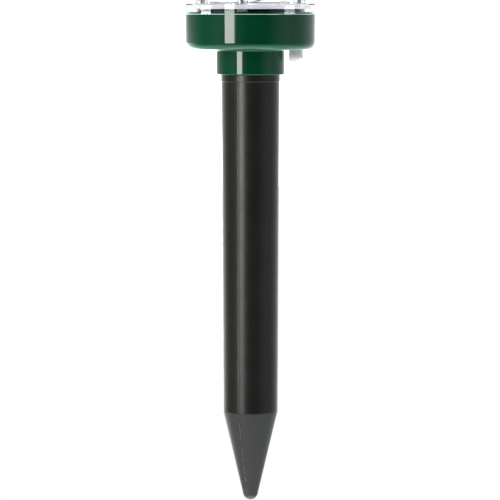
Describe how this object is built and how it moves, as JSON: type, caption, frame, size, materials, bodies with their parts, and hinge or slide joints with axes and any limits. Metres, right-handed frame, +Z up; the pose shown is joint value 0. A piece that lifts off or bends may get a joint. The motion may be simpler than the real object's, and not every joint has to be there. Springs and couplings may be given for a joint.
{
  "type": "ultrasonic pest repeller",
  "caption": "Solar ground stake with a round head, clear cover, waterproof push switch and a buried sounder in a pointed tube.",
  "frame": {"origin": "on the stake's axis at the soil line, the lower edge of the tube's ring", "axes": "+Z up along the stake's axis, +X towards the push switch under the head"},
  "size_m": [0.1006, 0.1006, 0.3923],
  "materials": {
    "stake_black": "smooth moulded polypropylene, satin gloss",
    "spike_grey": "matt textured polypropylene",
    "seal_rubber": "soft nitrile",
    "dish_green": "high-gloss green ABS",
    "cover_clear": "clear injection-moulded acrylic",
    "gasket_black": "soft sealing rubber",
    "screw_steel": "zinc-plated screw",
    "bezel_silver": "silver-painted plastic",
    "panel_board": "dark circuit laminate",
    "cell_silicon": "dark blue silicon with fine silver grid lines",
    "panel_resin": "clear epoxy with a fine dimple texture",
    "lead_red": "PVC-insulated lead",
    "lead_black": "PVC-insulated lead",
    "board_green": "green solder mask on glass laminate",
    "chip_black": "black moulding compound",
    "ferrite": "dull ferrite",
    "copper_wire": "enamelled copper wire",
    "capacitor_sleeve": "shrunk sleeve over an aluminium can",
    "resistor_tan": "lacquered resistor body",
    "plug_ivory": "natural nylon",
    "switch_black": "moulded switch case",
    "spring_steel": "drawn spring wire",
    "boot_silicone": "translucent grey silicone",
    "retainer_black": "moulded plastic",
    "plunger_white": "natural acetal",
    "button_grey": "mid-grey moulded cap",
    "cartridge_black": "moulded ABS",
    "cell_sleeve": "shrunk sleeve over a steel can",
    "contact_nickel": "nickel-plated strip",
    "pad_black": "closed-cell foam sheet",
    "foam_grey": "open-cell foam",
    "speaker_steel": "pressed steel",
    "magnet_grey": "plated magnet",
    "surround_rubber": "thin rolled rubber",
    "cone_film": "formed polyester film"
  },
  "bodies": {
    "stake": {"stake_tube": "stake_black", "spike_tip": "spike_grey", "neck_seal": "seal_rubber"},
    "head": {"head_dish": "dish_green", "clear_cover": "cover_clear", "cover_gasket": "gasket_black", "cover_screws": "screw_steel", "bezel_plate": "bezel_silver", "bezel_pad": "pad_black", "solar_substrate": "panel_board", "solar_cells": "cell_silicon", "solar_resin": "panel_resin", "solar_leads": "lead_red", "main_board": "board_green", "board_screws": "screw_steel", "timer_chip": "chip_black", "driver_transistor": "chip_black", "inductor_core": "ferrite", "inductor_winding": "copper_wire", "board_capacitors": "capacitor_sleeve", "board_resistors": "resistor_tan", "lead_connectors": "plug_ivory", "switch_body": "switch_black", "switch_board": "board_green", "switch_board_screws": "screw_steel", "switch_spring": "spring_steel", "switch_leads": "lead_black", "switch_boot": "boot_silicone", "boot_retainer": "retainer_black", "cartridge_frame": "cartridge_black", "cartridge_screws": "screw_steel", "battery_cells": "cell_sleeve", "battery_contacts": "contact_nickel", "battery_spring": "spring_steel", "battery_leads": "lead_red", "foam_ring": "foam_grey", "speaker_frame": "speaker_steel", "speaker_yoke": "speaker_steel", "speaker_magnet": "magnet_grey", "pole_plate": "speaker_steel", "speaker_surround": "surround_rubber", "speaker_leads": "lead_black"},
    "switch_button": {"switch_plunger": "plunger_white", "button_cap": "button_grey"},
    "diaphragm": {"voice_coil": "copper_wire", "speaker_diaphragm": "cone_film"}
  },
  "joints": [
    {"name": "head_twist", "type": "hinge", "parent": "stake", "child": "head", "pos_m": [0, 0, 0.012], "axis": [0, 0, 1], "range_deg": [0, 38]},
    {"name": "switch_press", "type": "slide", "parent": "head", "child": "switch_button", "axis": [0, 0, 1], "range_m": [0, 0.0018], "stiffness_N_per_m": 400, "springref_m": -0.0001, "deforming": ["switch_spring", "switch_boot"]},
    {"name": "cone_travel", "type": "slide", "parent": "head", "child": "diaphragm", "axis": [0, 0, 1], "range_m": [-0.0003, 0.0003], "stiffness_N_per_m": 300, "deforming": ["speaker_surround"]}
  ]
}
